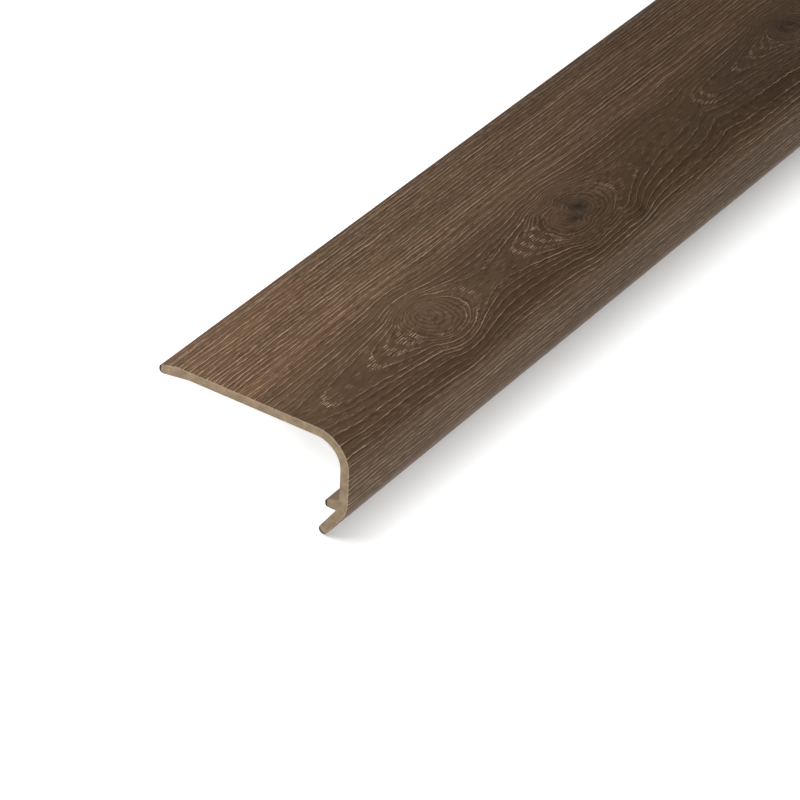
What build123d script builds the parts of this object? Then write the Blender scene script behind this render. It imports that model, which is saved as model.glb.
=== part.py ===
"""Overlapping stair nosing: one extruded strip of wood-grained rigid vinyl, in millimetres.

The section is drawn as it sits on a stair, with x to the front of the nose, where it is 0, and y up
from the top face, where it is 0. It is then turned into the way the strip lies by itself on a floor,
on its back edge and its lip, and extruded along Y.
"""

import math
import os

from build123d import *

# Driving dimensions of the strip
LENGTH = 1200.0  # along the stair
DEPTH = 87.0  # from the back edge to the front of the nose
WALL = 4.0  # thickness of the flange, the front and the lip

# Nose and front, measured on their outer faces
NOSE_RADIUS = 15.2  # bullnose between the top and the front
FRONT_HEIGHT = 13.4  # flat of the front, below the bullnose
TUCK_RADIUS = 14.0  # bend that tucks the foot of the front under
TUCK_ANGLE = 35.0  # how far that bend turns from upright
LIP_LENGTH = 11.2  # straight of the lip, from the bend to its rounded end

# Back edge, which steps down onto the floor that it overlaps
BEVEL_LENGTH = 8.0  # top bevel, along the depth
BEVEL_DROP = 2.2  # how far the bevel falls
FOOT_LENGTH = 13.4  # wedge under the back edge, along the depth
FOOT_DROP = 2.0  # how far the wedge reaches below the flange
BACK_ROUND_SHARE = 0.45  # radius of the back edge's two corners, as a share of its height

# Rib inside the front, which bears on the edge of the tread
RIB_REACH = 6.2  # from the inner face to the tip
RIB_ROOT = 5.6  # height where it leaves the inner face
RIB_RISE = 0.5  # how far its top starts above the end of the flat front
RIB_SLOPE = 20.0  # fall of its top towards the tip, in degrees; its underside is level
RIB_ROUND_SHARE = 0.45  # radius of the tip's two corners, as a share of the tip's height
RIB_FILLET = 0.6  # radius in the corner above it

UP, DOWN, FORWARD = (0, 1), (0, -1), (1, 0)


def back_corner_radius():
    """The back edge's corners are nearly a full round between the bevel and the wedge."""
    return BACK_ROUND_SHARE * (WALL + FOOT_DROP - BEVEL_DROP)


def strip_section():
    """The strip without its rib: a wall that runs from the back edge, round the nose, to the lip.
    Returns its face and the middle of the lip's round end."""
    with BuildSketch() as sketch:
        with BuildLine():
            flange_top = Line((BEVEL_LENGTH - DEPTH, 0), (-NOSE_RADIUS, 0))
            nose_out = JernArc(flange_top @ 1, FORWARD, NOSE_RADIUS, -90)
            front_out = PolarLine(nose_out @ 1, FRONT_HEIGHT, direction=DOWN)
            tuck_out = JernArc(front_out @ 1, DOWN, TUCK_RADIUS, -TUCK_ANGLE)
            lip_out = PolarLine(tuck_out @ 1, LIP_LENGTH, direction=tuck_out % 1)
            lip_end = JernArc(lip_out @ 1, lip_out % 1, WALL / 2, -180)
            lip_in = PolarLine(lip_end @ 1, LIP_LENGTH, direction=lip_end % 1)
            tuck_in = JernArc(lip_in @ 1, lip_in % 1, TUCK_RADIUS - WALL, TUCK_ANGLE)
            front_in = PolarLine(tuck_in @ 1, FRONT_HEIGHT, direction=UP)
            nose_in = JernArc(front_in @ 1, UP, NOSE_RADIUS - WALL, 90)
            flange_under = Line(nose_in @ 1, (FOOT_LENGTH - DEPTH, -WALL))
            foot = Line(flange_under @ 1, (-DEPTH, -WALL - FOOT_DROP))
            back_edge = Line(foot @ 1, (-DEPTH, -BEVEL_DROP))
            Line(back_edge @ 1, flange_top @ 0)
        make_face()
        back_corners = sketch.vertices().group_by(Axis.X)[0]
        fillet(back_corners, back_corner_radius())
    return sketch.sketch, lip_end.center_point


def rib_section():
    """A wedge with rounded corners at its tip, its root sunk to the middle of the wall. Returns its
    face and the corner where its top leaves the inner face."""
    corner = Vector(-WALL, RIB_RISE - NOSE_RADIUS - FRONT_HEIGHT)
    fall = RIB_REACH * math.tan(math.radians(RIB_SLOPE))
    with BuildSketch() as sketch:
        with BuildLine():
            Polyline(
                corner + Vector(WALL / 2, 0),
                corner,
                corner + Vector(-RIB_REACH, -fall),
                corner + Vector(-RIB_REACH, -RIB_ROOT),
                corner + Vector(WALL / 2, -RIB_ROOT),
                close=True,
            )
        make_face()
        tip_corners = sketch.vertices().group_by(Axis.X)[0]
        fillet(tip_corners, RIB_ROUND_SHARE * (RIB_ROOT - fall))
    return sketch.sketch, corner


def resting_turn(lip_centre):
    """Degrees that the section turns to lie level: the line that touches the round of the back edge
    and the round of the lip from below, taken back to the horizontal."""
    back_radius = back_corner_radius()
    foot_slope = math.atan2(FOOT_DROP, FOOT_LENGTH)
    back_height = back_radius * (math.tan(foot_slope) + 1 / math.cos(foot_slope))
    back_centre = Vector(back_radius - DEPTH, back_height - WALL - FOOT_DROP)
    span = lip_centre - back_centre
    line = math.atan2(span.Y, span.X) + math.asin((back_radius - WALL / 2) / span.length)
    return -math.degrees(line)


def nosing_profile():
    """The whole strip, lying on the floor with its length along Y and the origin under its middle."""
    strip, lip_centre = strip_section()
    rib, rib_corner = rib_section()
    section = strip + rib
    section = fillet(section.vertices().sort_by_distance(rib_corner)[0], RIB_FILLET)
    lying = section.rotate(Axis.Z, resting_turn(lip_centre))
    box = lying.bounding_box()
    centred = Pos(-box.center().X, -box.min.Y) * lying
    upright = Plane.XZ.offset(-LENGTH / 2) * centred
    return extrude(upright, LENGTH)


os.makedirs("parts", exist_ok=True)
export_step(nosing_profile(), "parts/nosing_profile.step")
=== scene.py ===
import math

import bpy
import numpy as np
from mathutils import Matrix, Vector


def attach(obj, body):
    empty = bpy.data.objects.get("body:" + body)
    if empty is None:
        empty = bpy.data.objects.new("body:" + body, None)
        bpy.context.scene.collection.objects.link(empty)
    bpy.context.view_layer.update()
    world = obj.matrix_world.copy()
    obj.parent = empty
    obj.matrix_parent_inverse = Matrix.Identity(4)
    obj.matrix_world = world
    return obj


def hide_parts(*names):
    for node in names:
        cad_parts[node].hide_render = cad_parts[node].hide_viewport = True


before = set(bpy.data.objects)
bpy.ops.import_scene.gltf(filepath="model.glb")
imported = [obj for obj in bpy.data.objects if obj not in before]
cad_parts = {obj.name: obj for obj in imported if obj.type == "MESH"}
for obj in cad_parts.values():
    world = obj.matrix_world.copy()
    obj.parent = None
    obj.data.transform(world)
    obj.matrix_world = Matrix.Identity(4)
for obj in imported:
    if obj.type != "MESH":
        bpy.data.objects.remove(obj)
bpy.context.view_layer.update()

# The nosing: one strip of rigid vinyl with an oak decor pressed onto its outer face, extruded to one
# section and sawn off square at both ends. On a stair its flange is glued to the tread; here it lies by
# itself on its back edge and its lip.
MM = 0.001
LENGTH = 1200 * MM
DEPTH = 87.0 * MM
WALL = 4.0 * MM
NOSE_RADIUS = 15.2 * MM
FRONT_HEIGHT = 13.4 * MM
TUCK_RADIUS, TUCK_ANGLE = 14.0 * MM, 35.0
LIP_LENGTH = 11.2 * MM
BEVEL_LENGTH, BEVEL_DROP = 8.0 * MM, 2.2 * MM
FOOT_LENGTH, FOOT_DROP = 13.4 * MM, 2.0 * MM
BACK_HEIGHT = WALL + FOOT_DROP - BEVEL_DROP
RIB_REACH, RIB_ROOT, RIB_RISE, RIB_SLOPE = 6.2 * MM, 5.6 * MM, 0.5 * MM, 20.0
RIB_FALL = RIB_REACH * math.tan(math.radians(RIB_SLOPE))
TIP_HEIGHT = RIB_ROOT - RIB_FALL
RIB_FILLET = 0.6 * MM
ROUND_SHARE = 0.45  # radius of the corners of the back edge and of the rib's tip, as a share of its height
BACK_ROUND, TIP_ROUND = ROUND_SHARE * BACK_HEIGHT, ROUND_SHARE * TIP_HEIGHT
FOOT_TURN = math.degrees(math.atan2(FOOT_DROP, FOOT_LENGTH))
BEVEL_TURN = math.degrees(math.atan2(BEVEL_DROP, BEVEL_LENGTH))
KNOTTY_DEPTH = 55.0 * MM  # how far behind the front the finer faces of the knotty part begin
SAWN_EDGE = 0.12 * MM  # worn corner round the sawn ends
SAWN_RIM = 1.2 * MM  # strip of a sawn face along its outline
STATIONS = 501  # places along the strip at which its section is set
END_REACH = 1.5  # how far the points of a free end lie from its middle at most, in radii
SHARP_ANGLE = 30.0  # edges that bend further than this are shaded as sharp


def heading(degrees):
    """The unit vector at an angle from the x axis."""
    return np.array([math.cos(math.radians(degrees)), math.sin(math.radians(degrees))])


def run(start, end, pitch):
    """Points at about the pitch along a straight line, from its start up to but without its end."""
    start, end = np.asarray(start), np.asarray(end)
    count = max(1, round(np.linalg.norm(end - start) / pitch))
    return start + (end - start) * np.arange(count)[:, None] / count


def turn(centre, radius, first, last, pitch):
    """Points at about the pitch along a circle, from the first angle up to but without the last."""
    count = max(3, round(abs(math.radians(last - first)) * radius / pitch))
    angle = np.radians(first + (last - first) * np.arange(count) / count)
    return np.asarray(centre) + radius * np.stack([np.cos(angle), np.sin(angle)], 1)


def corner_drop(radius, degrees):
    """How far the middle of a rounded corner lies from the corner, along the upright side of two that
    meet at a right angle plus the given slope: the radius times the slope's tangent and secant."""
    slope = math.radians(degrees)
    return radius * (math.tan(slope) + 1 / math.cos(slope))


# Middles of the section's rounds as it sits on a stair, x to the front and z up, and the lip's directions
BACK_LOW = np.array([BACK_ROUND - DEPTH, corner_drop(BACK_ROUND, FOOT_TURN) - WALL - FOOT_DROP])
BACK_HIGH = np.array([BACK_ROUND - DEPTH, -corner_drop(BACK_ROUND, -BEVEL_TURN) - BEVEL_DROP])
NOSE = np.array([-NOSE_RADIUS, -NOSE_RADIUS])
TUCK = np.array([-TUCK_RADIUS, -NOSE_RADIUS - FRONT_HEIGHT])
LIP_OUT, LIP_DOWN = heading(-TUCK_ANGLE), heading(-TUCK_ANGLE - 90)
LIP_END = TUCK + (TUCK_RADIUS - WALL / 2) * LIP_OUT + LIP_LENGTH * LIP_DOWN
RIB_TOP = TUCK[1] + RIB_RISE
TIP = -WALL - RIB_REACH + TIP_ROUND
FREE_ENDS = [
    ((BACK_ROUND - DEPTH, BACK_HEIGHT / 2 - WALL - FOOT_DROP), heading(180), BACK_HEIGHT / 2),
    (LIP_END, LIP_DOWN, WALL / 2),
    ((TIP, RIB_TOP - RIB_ROOT + TIP_HEIGHT / 2), heading(180), TIP_HEIGHT / 2),
]  # the back edge, the lip and the rib: middle of the end, its direction, half its height


def decor_path():
    """The decor side of the section: straight runs and arcs from under the back edge over the top and the
    nose, down to the inside of the lip's round end."""
    bevel_end, knots_start, flange_end = (BEVEL_LENGTH - DEPTH, 0), (-KNOTTY_DEPTH, 0), (-NOSE_RADIUS, 0)
    lip = TUCK + TUCK_RADIUS * LIP_OUT
    return np.concatenate([
        turn(BACK_LOW, BACK_ROUND, 270 + FOOT_TURN, 180, pitch=0.3 * MM),
        turn(BACK_HIGH, BACK_ROUND, 180, 90 + BEVEL_TURN, pitch=0.3 * MM),
        run(BACK_HIGH + BACK_ROUND * heading(90 + BEVEL_TURN), bevel_end, pitch=2.0 * MM),
        run(bevel_end, knots_start, pitch=2.2 * MM),
        run(knots_start, flange_end, pitch=1.2 * MM),
        turn(NOSE, NOSE_RADIUS, 90, 0, pitch=1.0 * MM),
        run((0, NOSE[1]), (0, TUCK[1]), pitch=1.6 * MM),
        turn(TUCK, TUCK_RADIUS, 0, -TUCK_ANGLE, pitch=1.0 * MM),
        run(lip, lip + LIP_LENGTH * LIP_DOWN, pitch=2.8 * MM),
        turn(LIP_END, WALL / 2, -TUCK_ANGLE, -TUCK_ANGLE - 180, pitch=0.4 * MM),
    ])


def plain_path():
    """The plain side of the section: from the inside of the lip up round the rib and the inside of the
    nose, and back along the underside of the flange to the wedge under the back edge."""
    inside = TUCK_RADIUS - WALL
    lip = TUCK + inside * LIP_OUT
    rib_foot = RIB_TOP - RIB_ROOT
    rib_turn = math.degrees(math.asin((RIB_ROOT - RIB_RISE) / inside))
    tip_low = np.array([TIP, rib_foot + TIP_ROUND])
    tip_high = np.array([TIP, RIB_TOP - RIB_FALL - corner_drop(TIP_ROUND, -RIB_SLOPE)])
    cut = RIB_FILLET * math.tan(math.radians(45 - RIB_SLOPE / 2))
    slope_end = np.array([-WALL, RIB_TOP]) - cut * heading(RIB_SLOPE)
    fillet = np.array([-WALL - RIB_FILLET, RIB_TOP + cut])
    foot = (FOOT_LENGTH - DEPTH, -WALL)
    return np.concatenate([
        run(lip + LIP_LENGTH * LIP_DOWN, lip, pitch=5.6 * MM),
        turn(TUCK, inside, -TUCK_ANGLE, -rib_turn, pitch=0.4 * MM),
        run(TUCK + inside * heading(-rib_turn), (TIP, rib_foot), pitch=2.0 * MM),
        turn(tip_low, TIP_ROUND, 270, 180, pitch=0.4 * MM),
        turn(tip_high, TIP_ROUND, 180, 90 + RIB_SLOPE, pitch=0.4 * MM),
        run(tip_high + TIP_ROUND * heading(90 + RIB_SLOPE), slope_end, pitch=2.0 * MM),
        turn(fillet, RIB_FILLET, RIB_SLOPE - 90, 0, pitch=0.3 * MM),
        run((-WALL, fillet[1]), (-WALL, NOSE[1]), pitch=6.0 * MM),
        turn(NOSE, NOSE_RADIUS - WALL, 0, 90, pitch=1.2 * MM),
        run((NOSE[0], -WALL), foot, pitch=12.0 * MM),
        run(foot, BACK_LOW + BACK_ROUND * heading(270 + FOOT_TURN), pitch=6.0 * MM),
    ])


def lying_turn():
    """The angle that lays the section on a floor: that of the line which touches the rounds of the back
    edge and of the lip from below, taken back to the horizontal."""
    span = LIP_END - BACK_LOW
    return -math.atan2(span[1], span[0]) - math.asin((BACK_ROUND - WALL / 2) / np.linalg.norm(span))


def round_end(points, middle, ahead, radius):
    """How far points lie round a free end: their place ahead of its middle in radii, from 0 to 1."""
    out = (points - np.asarray(middle)) / radius
    return np.where(np.linalg.norm(out, axis=1) < END_REACH, out @ ahead, 0).clip(0, 1)


decor_side = decor_path()
section = np.concatenate([decor_side, plain_path()])
columns = len(section)
free = np.max([round_end(section, *end) for end in FREE_ENDS], axis=0)
girth = np.concatenate([[0], np.cumsum(np.linalg.norm(np.diff(section, axis=0), axis=1))])
girth -= girth[decor_side[:, 0].argmin()]
lay = lying_turn()
section = section @ np.array([[math.cos(lay), math.sin(lay)], [-math.sin(lay), math.cos(lay)]])
section -= [(section[:, 0].min() + section[:, 0].max()) / 2, section[:, 1].min()]
chord = np.roll(section, -1, 0) - np.roll(section, 1, 0)
inward = np.stack([chord[:, 1], -chord[:, 0]], 1) / np.linalg.norm(chord, axis=1)[:, None]

# Vertices run from inside the near sawn face over its rim, through every station and over the far rim.
# Faces: one grid that closes on itself, worn corners and rims included, and one face in each sawn end.
near, far = np.full(2, -LENGTH / 2), np.full(2, LENGTH / 2)
stations = np.linspace(-LENGTH / 2 + SAWN_EDGE, LENGTH / 2 - SAWN_EDGE, STATIONS)
place = np.empty((STATIONS + 4, columns, 3))
place[:, :, 1] = np.concatenate([near, stations, far])[:, None]
place[2:-2, :, ::2] = section
place[1, :, ::2] = place[-2, :, ::2] = section + SAWN_EDGE * inward
place[0, :, ::2] = place[-1, :, ::2] = section + SAWN_RIM * inward
index = np.arange(place.shape[0] * columns).reshape(-1, columns)
quads = np.stack([index[:-1], np.roll(index[:-1], -1, 1), np.roll(index[1:], -1, 1), index[1:]], 2)
quads = quads.reshape(-1, 4).tolist()
mesh = bpy.data.meshes.new("nosing_strip")
mesh.from_pydata(place.reshape(-1, 3), [], quads + [index[0, ::-1].tolist(), index[-1].tolist()])
DECOR, PLAIN, SAWN = range(3)
on_decor = np.arange(columns) < len(decor_side)
sawn = np.full(columns, SAWN)
finish = np.concatenate([sawn, np.tile(np.where(on_decor, DECOR, PLAIN), STATIONS + 1), sawn, [SAWN, SAWN]])
mesh.polygons.foreach_set("material_index", finish.astype(np.int32))
mesh.polygons.foreach_set("use_smooth", finish != SAWN)
mesh.set_sharp_from_angle(angle=math.radians(SHARP_ANGLE))
strip = bpy.data.objects.new("nosing_strip", mesh)
bpy.context.collection.objects.link(strip)

# The oak of the decor, in millimetres along the strip from its near end and across it from its back edge.
# Growth rings lie round a pith that runs under the face; where a branch left the pith they close to a knot.
HEART = np.array([
    (-60, 66), (-10, 62), (14, 70), (120, 68.5), (205, 72), (240, 68), (272, 65.5), (300, 60.5), (330, 62),
    (430, 66), (520, 61), (640, 69), (780, 64), (900, 71), (918, 61), (1060, 65), (1180, 68), (1260, 64),
])  # the pith's path: along, across
KNOTS = np.array([
    (-70, 61, 13.0, 60, 56), (86.5, 66, 13.5, 76, 32), (178.5, 68, 14.5, 42, 40), (188, 66, 13.0, 50, 29),
    (366, 58.5, 14.0, 90, 46), (476, 64, 8.5, 38, 60), (622, 68, 13.0, 80, 40), (742, 63, 11.0, 48, 70),
    (838, 67, 14.5, 36, 52), (1004, 62, 12.5, 84, 38), (1112, 68, 9.5, 50, 60),
])  # along, across, half length, reach of its rings to the near and the far end
SPOTS = np.array([
    (73, 73, 1.2, 0.9, 0.9), (87, 62, 3, 3, 0.25), (172, 74, 2.2, 1.6, 1.0), (179.5, 70, 5, 3.4, 0.8),
    (189, 66, 4.4, 6.5, 1.0), (209, 85, 3, 2.6, 0.6), (366, 58, 6, 5, 0.9), (477, 64, 3.5, 3, 0.6),
    (620, 68, 5, 4, 0.8), (743, 63, 4, 3.5, 0.5), (838, 66, 6, 5, 1.0), (1005, 62, 5, 4, 0.7),
    (1112, 68, 4, 3, 0.8),
])  # dark bark and decay in the knots: along, across, half length, half width, share
RISES = np.array([
    (2, 0.9, 14), (281, 2.2, 11), (560, 0.8, 14), (909, 2.0, 12),
])  # where the pith lies deeper: along, by how much, half length
DENTS = np.array([
    (87.5, 60.5, 4.5, 9, 7.5), (208, 84, -3.2, 8, 6), (250, 64, 1.2, 16, 9), (430, 80, 2.5, 9, 6),
    (690, 52, -2.5, 9, 6), (1060, 86, -3.0, 8, 6),
])  # where the rings are pushed aside: along, across, by how much, half length, half width
YEARS = np.array([
    (0, 0), (12.4, 6), (13.7, 7), (14.8, 8), (15.9, 9), (17.6, 10), (18.7, 11), (20.2, 12),
    (22.3, 13), (24.9, 14), (26.8, 15), (28.9, 16), (90, 53),
])  # distance from the pith, year
EDGE_START = 0.93  # where the count across starts on the back edge's round, from its hindmost point
KNOT_DEPTH = 12.4  # ring at a knot's outline, as its distance from the pith
REACH_DEPTH = 19.2  # ring at the end of a knot's reach
CLEAR_DEPTH = 20.0  # depth of the pith between the knots
LEAST_SHARE = 0.02  # keeps the middle of a knot off a depth of nothing
JOINING = 8.0  # power of the soft minimum that joins knots and clear wood
PATH_BEND = 17  # length over which the pith's path is smoothed
PATH_OVERRUN = 20.0  # how far the pith's path runs on beyond both ends
HEART_MIDDLE = 67.0  # middle of the pith's path, across
HEART_WIDTH = 15.0  # how far to the side the rings follow the pith's path
BULGE_WIDTH = 24.0  # how far to the side the rings bulge round a knot
BLUNT = 8.0  # how blunt the rings' tips are
STRAIGHT_SHARE = 0.3  # how far the fibres of the heart run straight
STEP = 0.4  # step for the slopes of the rings
LEAST_WIDTH = 0.1  # least growth of the fibres' place for each step across
STEEPEST_SPREAD, STEEPEST_CLIMB = 2.0, 1.5  # limits of the rings' slopes


def growth_rings(along, across):
    """Distance of a place on the face from the pith, its place across the pith, and its ring's bulge.
    The pith's depth falls to nothing at a knot, first in line with the distance along and then as a power
    of it; knots and clear wood join by a soft minimum. The bulge is that depth squared less the clear one
    squared, and fades to the sides. The distance is the root of the sum of the place across squared,
    blunted near nothing, the clear depth squared and the bulge."""
    for middle, side, push, length, width in DENTS:
        across = across + push * np.exp(-((along - middle) / length) ** 2 - ((across - side) / width) ** 2)
    station = along[:, :1]
    gap = station - KNOTS[:, 0]
    reach = np.where(gap < 0, KNOTS[:, 3], KNOTS[:, 4])
    share = np.maximum(np.abs(gap) / KNOTS[:, 2], LEAST_SHARE)
    power = math.log(REACH_DEPTH / KNOT_DEPTH) / np.log(reach / KNOTS[:, 2])
    weight = (KNOT_DEPTH * np.where(share < 1, share, share ** power)) ** -JOINING
    clear = CLEAR_DEPTH ** -JOINING
    total = weight.sum(1, keepdims=True) + clear
    depth = total ** (-1 / JOINING)
    depth += (RISES[:, 1] * np.exp(-((station - RISES[:, 0]) / RISES[:, 2]) ** 2)).sum(1, keepdims=True)
    bend = np.hanning(PATH_BEND) / np.hanning(PATH_BEND).sum()
    ruler = np.arange(-PATH_OVERRUN, LENGTH / MM + PATH_OVERRUN)
    path = np.convolve(np.interp(ruler, HEART[:, 0], HEART[:, 1]), bend, "same")
    heart = (weight @ KNOTS[:, 1:2] + clear * np.interp(station, ruler, path)) / total
    off = across - HEART_MIDDLE
    off = off - (heart - HEART_MIDDLE) * np.exp(-(off / HEART_WIDTH) ** 2)
    bulge = (depth ** 2 - CLEAR_DEPTH ** 2) * np.exp(-(off / BULGE_WIDTH) ** 2)
    distance = np.sqrt(off ** 4 / (off ** 2 + BLUNT ** 2) + CLEAR_DEPTH ** 2 + bulge)
    return distance, off, bulge


def fibre_place(off, bulge):
    """Place across the fibres: far from the heart they run with the rings, which bulge round the knots,
    and near it they run nearly straight; the larger of both squares is taken softly."""
    ring, straight = off ** 2 + np.minimum(bulge, 0), STRAIGHT_SHARE * off ** 2
    return np.sign(off) * np.sqrt(0.5 * (ring + straight + np.sqrt((ring - straight) ** 2 + straight ** 2)))


def dark_share(along, across):
    """How much bark and decay darkens a place: the sum of the spots, each a bell with its own two widths."""
    lengthways = (along[..., None] - SPOTS[:, 0]) / SPOTS[:, 2]
    sideways = (across[..., None] - SPOTS[:, 1]) / SPOTS[:, 3]
    return (SPOTS[:, 4] * np.exp(-lengthways ** 2 - sideways ** 2)).sum(-1)


# What the decor needs at each vertex: the year of its ring, how fast the years grow along the fibres
# (climb), across them (spread) and in all (pace), each by differences over one step.
along = (place[..., 1] + LENGTH / 2) / MM
across = np.broadcast_to(girth / MM - EDGE_START, along.shape)
distance, off, bulge = growth_rings(along, across)
ahead_distance, ahead_off, ahead_bulge = growth_rings(along + STEP, across)
aside_distance, aside_off, aside_bulge = growth_rings(along, across + STEP)
year, ahead_year, aside_year = (np.interp(x, *YEARS.T) for x in (distance, ahead_distance, aside_distance))
fibre = fibre_place(off, bulge)
lean = fibre_place(ahead_off, ahead_bulge) - fibre
width = np.maximum(fibre_place(aside_off, aside_bulge) - fibre, LEAST_WIDTH * STEP)
spread = ((aside_year - year) / width).clip(-STEEPEST_SPREAD, STEEPEST_SPREAD)
climb = ((ahead_year - year - spread * lean) / STEP).clip(-STEEPEST_CLIMB, STEEPEST_CLIMB)
pace = np.hypot(ahead_year - year, aside_year - year) / STEP
rim = np.ones_like(along)
rim[0] = rim[-1] = 0
for name, fields in {
    "grain": (along, fibre, across),
    "rings": (year, climb, spread),
    "knot": (dark_share(along, across), distance, pace),
    "border": (rim, np.broadcast_to(free, along.shape), np.broadcast_to(on_decor, along.shape)),
}.items():
    values = np.stack(fields, -1).reshape(-1).astype(np.float32)
    mesh.attributes.new(name, "FLOAT_VECTOR", "POINT").data.foreach_set("vector", values)


def put(tree, kind, feeds, **settings):
    """Adds a shader node with its settings and feeds its inputs from sockets or plain values."""
    made = tree.nodes.new("ShaderNode" + kind)
    for name, value in settings.items():
        setattr(made, name, value)
    for key, value in feeds.items():
        if isinstance(value, bpy.types.NodeSocket):
            tree.links.new(value, made.inputs[key])
        else:
            made.inputs[key].default_value = value
    return made


def calc(tree, operation, *values):
    """The result of one sum on numbers or sockets."""
    return put(tree, "Math", dict(enumerate(values)), operation=operation).outputs[0]


def times(tree, first, *others):
    """The product of numbers or sockets."""
    for other in others:
        first = calc(tree, "MULTIPLY", first, other)
    return first


def scaled(tree, value, factor, start):
    """A value times a factor, counted from a start."""
    return calc(tree, "MULTIPLY_ADD", value, factor, start)


def size_of(tree, value):
    """A value without its sign."""
    return calc(tree, "ABSOLUTE", value)


def rest_of(tree, share):
    """What a share leaves of one."""
    return calc(tree, "SUBTRACT", 1.0, share)


def rise(tree, value, low, high, start=0.0, end=1.0):
    """A value carried smoothly from one range to another and held outside it."""
    feeds = {0: value, 1: low, 2: high, 3: start, 4: end}
    return put(tree, "MapRange", feeds, interpolation_type="SMOOTHSTEP").outputs[0]


def cloud(tree, vector, scale, detail=2.0, roughness=0.5):
    """Soft noise of about 0.25 to 0.75 with the vector stretched by the scale."""
    vector = put(tree, "VectorMath", {0: vector, 1: scale}, operation="MULTIPLY").outputs[0]
    feeds = {"Vector": vector, "Scale": 1.0, "Detail": detail, "Roughness": roughness}
    return put(tree, "TexNoise", feeds, noise_dimensions="3D").outputs[0]


def luck(tree, number):
    """A random share for each whole number, the same in every run."""
    return put(tree, "TexWhiteNoise", {"W": number}, noise_dimensions="1D").outputs["Value"]


def tint(tree, share, first, second):
    """Two colours mixed by a share."""
    return put(tree, "Mix", {0: share, 6: first, 7: second}, data_type="RGBA").outputs[2]


def srgb(red, green, blue):
    """A colour written as eight-bit values, as the shader takes it."""
    share = np.array([red, green, blue]) / 255
    return (*np.where(share <= 0.04045, share / 12.92, ((share + 0.055) / 1.055) ** 2.4), 1.0)


def carried(tree, name):
    """A vector that the mesh carries at its vertices."""
    return put(tree, "Attribute", {}, attribute_name=name).outputs["Vector"]


def parts_of(tree, vector):
    """The three parts of a vector."""
    return put(tree, "SeparateXYZ", {0: vector}).outputs


def new_material(name):
    """An empty material, its node tree and its shader."""
    material = bpy.data.materials.new(name)
    material.use_nodes = True
    tree = material.node_tree
    tree.nodes.clear()
    shader = put(tree, "BsdfPrincipled", {})
    put(tree, "OutputMaterial", {"Surface": shader.outputs[0]})
    return material, tree, shader


def emboss(tree, shader, height, strength, depth):
    """Relief of a height between 0 and 1, as deep as given in metres."""
    bump = put(tree, "Bump", {"Strength": strength, "Distance": depth, "Height": height})
    tree.links.new(bump.outputs[0], shader.inputs["Normal"])


THREAD_SHIFT = 7.0  # how many dashes the threads are shifted against each other at most


def dash_cells(tree, along, fibre, width, length):
    """A face laid out in threads across the grain and dashes along it: the place across a thread and along
    a dash, from -0.5 to 0.5, and a random share for each dash. Each thread starts at a place of its own."""
    threads = times(tree, fibre, 1 / width)
    thread = calc(tree, "FLOOR", threads)
    dashes = scaled(tree, luck(tree, thread), THREAD_SHIFT, times(tree, along, 1 / length))
    dash = calc(tree, "FLOOR", dashes)
    cell = put(tree, "CombineXYZ", {0: thread, 1: dash, 2: 0.0}).outputs[0]
    chance = put(tree, "TexWhiteNoise", {"Vector": cell}, noise_dimensions="2D").outputs["Value"]
    inside = calc(tree, "SUBTRACT", calc(tree, "SUBTRACT", threads, thread), 0.5)
    within = calc(tree, "SUBTRACT", calc(tree, "SUBTRACT", dashes, dash), 0.5)
    return inside, within, chance


def slim_dash(tree, inside, within):
    """A thin dash with tapered ends in the middle of each cell."""
    slim = rise(tree, size_of(tree, inside), 0.3, 0.08)
    return times(tree, slim, rise(tree, size_of(tree, within), 0.5, 0.3))


# The decor's finish: an oak print, matt, with its limed pores pressed in. Sizes are in millimetres.
THREAD, DASH, PORE_LENGTH = 0.55, 3.2, 3.4  # width of a thread, lengths of a ring's dash and of a pore
LINE_HALF, OUTER_GAIN = 0.16, 0.06  # half the width of a ring's line, and what it gains outside the heart
WIDEST_HALF = 0.24  # half of the widest line, in years
LINE_SHADE_SIDE = 2.1  # how far beside a light line its painted shade lies, in halves of the line
RING_APART = 23.7  # keeps the noise of one ring from that of the next
FLATTEST = 0.03  # least spread that a ring's tilt is counted with
SIDE_GAIN = 20.0  # how sharply the rings' lower side is told from their upper one
LIGHT_OAK, DEEP_OAK, RED_OAK = srgb(102, 82, 61), srgb(89, 70, 53), srgb(116, 82, 64)
HEARTWOOD, BAND_BROWN, STREAK_BROWN = srgb(66, 51, 39), srgb(48, 36, 28), srgb(54, 41, 30)
NOSE_PAINTED_SHEEN, BEVEL_PAINTED_SHADE = srgb(104, 93, 85), srgb(72, 56, 43)
LIMED_LINE, LINE_SHADE_AND_GAPS = srgb(186, 159, 133), srgb(28, 20, 15)
LIMED_PORE, DARK_PORE = srgb(150, 124, 102), srgb(40, 29, 21)
KNOT_WOOD, KNOT_ARC, BARK = srgb(112, 88, 70), srgb(46, 35, 28), srgb(40, 34, 31)
DECOR_SPECULAR, DECOR_ROUGHNESS, LINE_ROUGHENING = 0.02, 0.5, 0.15
RELIEF_STRENGTH, RELIEF_DEPTH = 0.5, 0.2 * MM
decor, tree, shader = new_material("oak_decor")
grain = carried(tree, "grain")
along, fibre, across = parts_of(tree, grain)
year, climb, spread = parts_of(tree, carried(tree, "rings"))
dark, distance, pace = parts_of(tree, carried(tree, "knot"))
near_knot = rise(tree, distance, 16.0, 10.0)
heart = rise(tree, distance, 34.0, 22.0)
outer = rest_of(tree, heart)

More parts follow.
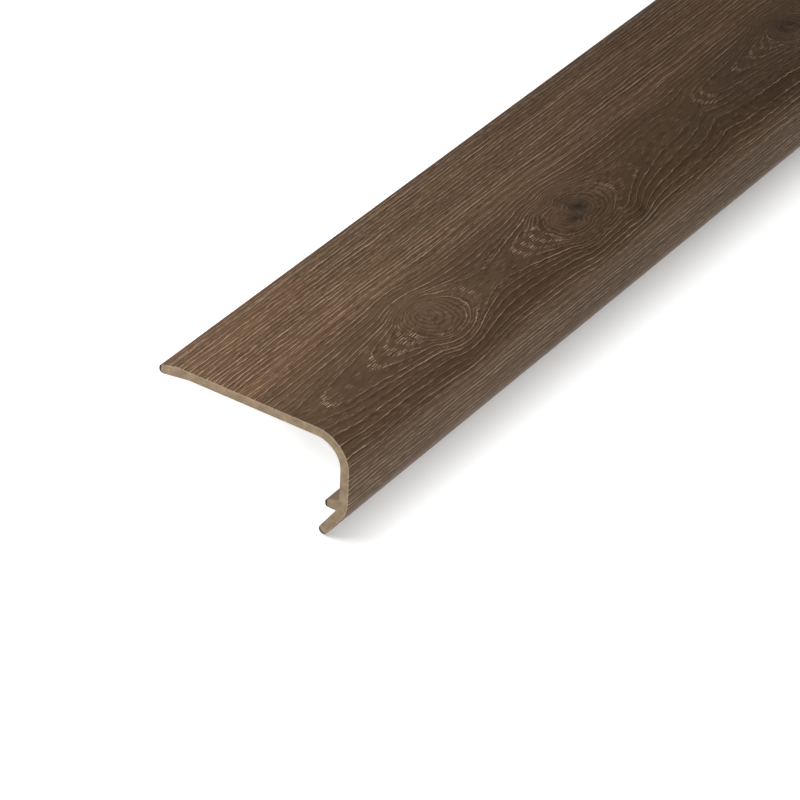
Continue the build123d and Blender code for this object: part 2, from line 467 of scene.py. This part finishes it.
# Where the rings cross the fibres steeply they are drawn in dashes along them, elsewhere as plain lines
slant = size_of(tree, climb)
tilt = calc(tree, "DIVIDE", slant, calc(tree, "MAXIMUM", size_of(tree, spread), FLATTEST))
steep = times(tree, rise(tree, tilt, 0.12, 0.35), rise(tree, slant, 0.35, 0.2))
plain = rest_of(tree, steep)
sway = scaled(tree, cloud(tree, grain, (1 / 30, 1 / 4, 0.3)), 1.6, -0.8)
swaying = calc(tree, "ADD", fibre, sway)
inside, within, chance = dash_cells(tree, along, swaying, THREAD, DASH)

# Years: those of the vertex, wandering, quivering and gnarled near knots; a dash takes those of its middle
wander = scaled(tree, cloud(tree, grain, (1 / 32, 1 / 7, 0), 3.0), 1.5, -0.75)
wander = times(tree, wander, scaled(tree, outer, 0.75, 0.25))
quiver = scaled(tree, cloud(tree, grain, (1 / 3.5, 1 / 2.5, 0.5)), 0.36, -0.18)
gnarl = calc(tree, "SUBTRACT", cloud(tree, grain, (1 / 9, 0, 1 / 9), 3.0, 0.6), 0.5)
gnarl = times(tree, gnarl, near_knot, 3.2)
back = times(tree, within, climb, steep, -DASH)
over = times(tree, inside, spread, steep, -THREAD)
year = calc(tree, "ADD", calc(tree, "ADD", year, wander), calc(tree, "ADD", back, over))
year = calc(tree, "ADD", year, calc(tree, "ADD", quiver, gnarl))
whole = calc(tree, "ROUND", year)
from_whole = calc(tree, "SUBTRACT", year, whole)
jitter = times(tree, calc(tree, "SUBTRACT", luck(tree, whole), 0.5), outer, 0.6)
past = calc(tree, "SUBTRACT", from_whole, jitter)

# Limed pores: a thin light line in every ring, which lasts or breaks, with painted shade of its groove on
# its lower side
half = scaled(tree, outer, OUTER_GAIN, LINE_HALF)
half = calc(tree, "ADD", times(tree, pace, plain, half), times(tree, slant, steep, 0.5 * DASH))
half = calc(tree, "MINIMUM", half, WIDEST_HALF)
side = calc(tree, "DIVIDE", past, half)
running = times(tree, rise(tree, size_of(tree, side), 1.3, 0.7), plain)
crossing = times(tree, rise(tree, size_of(tree, side), 1.7, 0.3), steep)
dashed = scaled(tree, calc(tree, "SUBTRACT", slim_dash(tree, inside, within), 1.0), steep, 1.0)
ring_path = put(tree, "CombineXYZ", {0: along, 1: times(tree, whole, RING_APART), 2: 0.0}).outputs[0]
vigour = rise(tree, cloud(tree, ring_path, (1 / 60, 1, 0), 1.0), 0.32, 0.68)
broken = rise(tree, cloud(tree, ring_path, (1 / 5, 1, 0), 3.0, 0.65), 0.39, 0.6)
lasting = calc(tree, "MAXIMUM", broken, rise(tree, vigour, 0.65, 1.0, 0.0, 0.7))
heart_choice = times(tree, scaled(tree, times(tree, vigour, vigour), 0.7, 0.3), heart)
outer_choice = times(tree, scaled(tree, vigour, 0.5, 0.3), outer)
strength = calc(tree, "ADD", heart_choice, outer_choice)
strength = times(tree, strength, scaled(tree, lasting, 0.75, 0.25), rise(tree, pace, 1.1, 0.7, 0.15, 1.0))
tips = times(tree, steep, rise(tree, climb, 0.02, -0.02, 0.1, 0.95))
strength = calc(tree, "MAXIMUM", strength, tips)
strength = times(tree, strength, rest_of(tree, times(tree, chance, scaled(tree, steep, 0.5, 0.3))))
strength = times(tree, strength, rise(tree, distance, 9.0, 12.5, 0.15, 1.0))
strength = times(tree, strength, rise(tree, slant, 0.5, 0.2, 0.6, 1.0))
lines = times(tree, calc(tree, "ADD", running, crossing), dashed, strength)
lower = calc(tree, "MAXIMUM", calc(tree, "MINIMUM", times(tree, spread, SIDE_GAIN), 1.0), -1.0)
# Painted shade of each line's pressed groove, on its lower side; in the steep parts also dark gaps between
# the dashes
line_shade_and_gaps = calc(tree, "SUBTRACT", times(tree, side, lower), LINE_SHADE_SIDE)
line_shade_and_gaps = times(tree, rise(tree, size_of(tree, line_shade_and_gaps), 1.3, 0.4), plain)
gaps = times(tree, crossing, rise(tree, size_of(tree, inside), 0.25, 0.45))
line_shade_and_gaps = times(tree, calc(tree, "ADD", line_shade_and_gaps, gaps), strength)

# Fine pores between the rings, a dark band below the lines of the heart, and streaks
pore_inside, pore_within, pore_chance = dash_cells(tree, along, swaying, THREAD, PORE_LENGTH)
pores = slim_dash(tree, pore_inside, pore_within)
dark_pores = times(tree, pores, rise(tree, pore_chance, 0.7, 0.9))
light_pores = times(tree, pores, rise(tree, pore_chance, 0.25, 0.05), scaled(tree, outer, 0.3, 0.7))
below = times(tree, past, lower)
band_below = times(tree, rise(tree, below, 0.02, 0.12), rise(tree, below, 0.5, 0.25), heart, plain)
band_below = times(tree, band_below, rise(tree, distance, 12.0, 16.0))
streak = rise(tree, cloud(tree, grain, (1 / 14, 1 / 0.5, 0.2), 3.0, 0.6), 0.42, 0.66)

# Colours from the ground up: clouds of light, deep and red oak, the heart, a painted sheen on the nose and
# painted shade on the bevel
tone = rise(tree, cloud(tree, grain, (1 / 70, 1 / 14, 0), 3.0), 0.3, 0.7)
warm = rise(tree, cloud(tree, grain, (1 / 80, 1 / 26, 0.7), 3.0, 0.6), 0.42, 0.62)
warm = times(tree, warm, rise(tree, across, 62.0, 40.0, 0.2, 1.0))
shade = times(tree, heart, rise(tree, across, 46.0, 64.0, 0.5, 1.0))
shade = times(tree, shade, rise(tree, distance, 8.0, 14.0, 0.2, 0.38))
colour = tint(tree, tone, DEEP_OAK, LIGHT_OAK)
colour = tint(tree, times(tree, warm, 0.4), colour, RED_OAK)
colour = tint(tree, shade, colour, HEARTWOOD)
# Painted greyish sheen down the nose and front, as of the white floor seen in them
colour = tint(tree, rise(tree, across, 84.0, 106.0, 0.0, 0.4), colour, NOSE_PAINTED_SHEEN)
# Painted shade on the bevel at the back edge, which faces the lamps more than the flange does
colour = tint(tree, rise(tree, across, 9.5, 7.5, 0.0, 0.3), colour, BEVEL_PAINTED_SHADE)
colour = tint(tree, times(tree, band_below, 0.3), colour, BAND_BROWN)
colour = tint(tree, times(tree, streak, 0.36), colour, STREAK_BROWN)
colour = tint(tree, times(tree, light_pores, 0.5), colour, LIMED_PORE)
colour = tint(tree, times(tree, dark_pores, scaled(tree, outer, 0.2, 0.5)), colour, DARK_PORE)
# Painted groove shade beside the lines, and dark gaps between the dashes
colour = tint(tree, times(tree, line_shade_and_gaps, 0.95), colour, LINE_SHADE_AND_GAPS)
colour = tint(tree, times(tree, lines, 0.95), colour, LIMED_LINE)

# Knots: a paler middle with soft dark arcs, and dark patches of bark
arcs = times(tree, rise(tree, size_of(tree, from_whole), 0.22, 0.42), rise(tree, distance, 14.0, 10.0))
arcs = times(tree, arcs, rise(tree, cloud(tree, grain, (1 / 9, 0, 1 / 9), 1.0), 0.38, 0.52))
patch = rise(tree, cloud(tree, grain, (1 / 4, 0, 1 / 4), 3.0), 0.35, 0.6, 0.35, 1.0)
colour = tint(tree, rise(tree, distance, 11.0, 6.0, 0.0, 0.25), colour, KNOT_WOOD)
colour = tint(tree, times(tree, arcs, 0.45), colour, KNOT_ARC)
colour = tint(tree, times(tree, dark, patch), colour, BARK)
tree.links.new(colour, shader.inputs["Base Color"])
tree.links.new(scaled(tree, lines, LINE_ROUGHENING, DECOR_ROUGHNESS), shader.inputs["Roughness"])
shader.inputs["Specular IOR Level"].default_value = DECOR_SPECULAR
relief = calc(tree, "ADD", times(tree, lines, -1.0), times(tree, dark_pores, -0.5))
emboss(tree, shader, relief, RELIEF_STRENGTH, RELIEF_DEPTH)

# The plain vinyl of the underside, beige-brown all through, with fine lines that the die drew along it.
CORE_LIGHT, CORE_DEEP, DIE_LINE = srgb(110, 91, 70), srgb(98, 80, 61), srgb(84, 68, 51)
core_vinyl, tree, shader = new_material("core_vinyl")
grain = carried(tree, "grain")
drawn = cloud(tree, grain, (1 / 300, 0, 1 / 0.9), 3.0)
tone = rise(tree, cloud(tree, grain, (1 / 60, 0, 1 / 20)), 0.3, 0.7)
colour = tint(tree, tone, CORE_DEEP, CORE_LIGHT)
colour = tint(tree, rise(tree, drawn, 0.4, 0.7, 0.0, 0.35), colour, DIE_LINE)
tree.links.new(colour, shader.inputs["Base Color"])
shader.inputs["Roughness"].default_value = 0.5
shader.inputs["Specular IOR Level"].default_value = 0.3
emboss(tree, shader, drawn, 0.2, 0.1 * MM)

# The sawn ends: the same vinyl, mottled and scratched by the saw, with a painted highlight and notches along
# the outer side's rim, and painted shade round the free ends.
SAWN_LIGHT, SAWN_DEEP, SAW_SCRATCH = srgb(134, 116, 93), srgb(108, 91, 71), srgb(98, 82, 65)
PAINTED_RIM_HIGHLIGHT, RIM_NOTCH, PAINTED_TIP_SHADE = srgb(170, 152, 127), srgb(84, 66, 51), srgb(22, 18, 15)
sawn_vinyl, tree, shader = new_material("sawn_vinyl")
where = put(tree, "TexCoord", {}).outputs["Object"]
rim, free, outside = parts_of(tree, carried(tree, "border"))
mottle = rise(tree, cloud(tree, where, (260, 260, 260), 4.0, 0.6), 0.3, 0.7)
scratch = cloud(tree, where, (1500, 1500, 300))
notch = rise(tree, cloud(tree, carried(tree, "grain"), (0, 0, 1 / 0.8)), 0.5, 0.62)
colour = tint(tree, mottle, SAWN_DEEP, SAWN_LIGHT)
colour = tint(tree, rise(tree, scratch, 0.5, 0.75, 0.0, 0.4), colour, SAW_SCRATCH)
# Painted highlight along the rim of the outer side
colour = tint(tree, times(tree, rise(tree, rim, 0.6, 0.85), outside, 0.5), colour, PAINTED_RIM_HIGHLIGHT)
colour = tint(tree, times(tree, notch, rise(tree, rim, 0.4, 0.75), outside, 0.7), colour, RIM_NOTCH)
# Painted shade on the rounds of the free ends: the back edge, the lip and the rib's tip
colour = tint(tree, rise(tree, times(tree, rim, free), 0.15, 0.35), colour, PAINTED_TIP_SHADE)
tree.links.new(colour, shader.inputs["Base Color"])
shader.inputs["Roughness"].default_value = 0.6
shader.inputs["Specular IOR Level"].default_value = 0.3
emboss(tree, shader, scratch, 0.25, 0.1 * MM)

for material in (decor, core_vinyl, sawn_vinyl):
    mesh.materials.append(material)
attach(strip, "root")
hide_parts("nosing_profile")

# The floor: a wide sheet of white paper that the strip lies on, white to the camera and in reflections
# but for the strip's shadow, and clear to a camera that looks up from below it.
FLOOR_REACH = 6.0
PAPER_LIGHT, PAPER_DEEP = srgb(240, 240, 240), srgb(234, 234, 234)
WHITE = (1, 1, 1, 1)
floor_mesh = bpy.data.meshes.new("floor")
corners = FLOOR_REACH * np.array([(-1, -1, 0), (1, -1, 0), (1, 1, 0), (-1, 1, 0)])
floor_mesh.from_pydata(corners.tolist(), [], [(0, 1, 2, 3)])
floor = bpy.data.objects.new("floor", floor_mesh)
bpy.context.collection.objects.link(floor)
paper, tree, shader = new_material("white_paper")
where = put(tree, "TexCoord", {}).outputs["Object"]
fleck = cloud(tree, where, (40, 40, 40), 3.0)
tree.links.new(tint(tree, fleck, PAPER_DEEP, PAPER_LIGHT), shader.inputs["Base Color"])
shader.inputs["Roughness"].default_value = 0.9
shader.inputs["Emission Color"].default_value = WHITE

# The paper glows to the camera from both sides of the strip and its ends outwards; the shadow lies between.
# The glow is painted light: it fills the shadow under the flange, and its ramp beside the nose paints the
# shadow's fade.
sideways, lengthways = parts_of(tree, where)[:2]
beside, beyond = size_of(tree, sideways), size_of(tree, lengthways)
lift = rise(tree, sideways, 0.046, 0.036, 0.0, 0.8)
for further in (
    rise(tree, sideways, 0.033, 0.069, 0.0, 0.75),
    rise(tree, beyond, 0.59, 0.64, 0.0, 0.8),
    rise(tree, beside, 0.12, 0.4),
    rise(tree, beyond, 0.65, 0.9),
):
    lift = calc(tree, "MAXIMUM", lift, further)
path = put(tree, "LightPath", {}).outputs
tree.links.new(times(tree, path["Is Camera Ray"], lift), shader.inputs["Emission Strength"])
mirrored = calc(tree, "MAXIMUM", path["Is Glossy Ray"], path["Is Transmission Ray"])
glow = put(tree, "Emission", {"Color": WHITE, "Strength": 1.0})
lit = put(tree, "MixShader", {0: mirrored, 1: shader.outputs[0], 2: glow.outputs[0]})
under = times(tree, put(tree, "NewGeometry", {}).outputs["Backfacing"], path["Is Camera Ray"])
clear = put(tree, "BsdfTransparent", {})
seen = put(tree, "MixShader", {0: under, 1: lit.outputs[0], 2: clear.outputs[0]})
tree.links.new(seen.outputs[0], tree.nodes["Material Output"].inputs["Surface"])
floor_mesh.materials.append(paper)


# The light: a soft box on the side of the back edge and a reflector on the side of the nose, once before
# the near end and once, weaker, beyond the far end, in a dim white room.
def soft_box(name, place, target, size, power):
    """A rectangular lamp at a place, facing a target."""
    lamp = bpy.data.lights.new(name, "AREA")
    lamp.shape = "RECTANGLE"
    lamp.size, lamp.size_y = size
    lamp.energy = power
    stand = bpy.data.objects.new(name, lamp)
    bpy.context.collection.objects.link(stand)
    stand.location = place
    stand.rotation_euler = (Vector(target) - Vector(place)).to_track_quat("-Z", "Y").to_euler()


soft_box("near_soft_box", (-0.32, -0.86, 0.31), target=(0, -0.55, 0.02), size=(0.36, 0.36), power=3.9)
soft_box("near_reflector", (0.8, -1.05, 0.42), target=(0, -0.35, 0.02), size=(0.5, 0.8), power=7.7)
soft_box("far_soft_box", (-0.45, 0.8, 0.5), target=(0, 0.5, 0.02), size=(0.5, 0.7), power=1.2)
soft_box("far_reflector", (0.7, 0.95, 0.4), target=(0, 0.5, 0.02), size=(0.5, 0.8), power=2.6)
ROOM_LIGHT, ROOM_SEEN = 0.1, 1.0  # strength of the room's light, and as it is seen or mirrored
world = bpy.data.worlds.new("studio")
bpy.context.scene.world = world
world.use_nodes = True
tree = world.node_tree
background = tree.nodes["Background"]
background.inputs["Color"].default_value = WHITE
path = put(tree, "LightPath", {}).outputs
shown = calc(tree, "MAXIMUM", path["Is Camera Ray"], path["Is Glossy Ray"])
shown = calc(tree, "MAXIMUM", shown, path["Is Transmission Ray"])
tree.links.new(rise(tree, shown, 0.0, 1.0, ROOM_LIGHT, ROOM_SEEN), background.inputs["Strength"])

# The camera: a long lens above the near end, with the strip running off to the upper right.
CAMERA_PLACE = (0.220050, -1.681930, 1.184518)
CAMERA_TURN = (38.09466, -25.64726, 38.62081)
view = bpy.data.cameras.new("camera")
view.sensor_width = 36.0
view.lens = 195.589
camera = bpy.data.objects.new("camera", view)
bpy.context.collection.objects.link(camera)
camera.location = CAMERA_PLACE
camera.rotation_euler = np.radians(CAMERA_TURN)
bpy.context.scene.camera = camera
bpy.context.scene.view_settings.view_transform = "Standard"
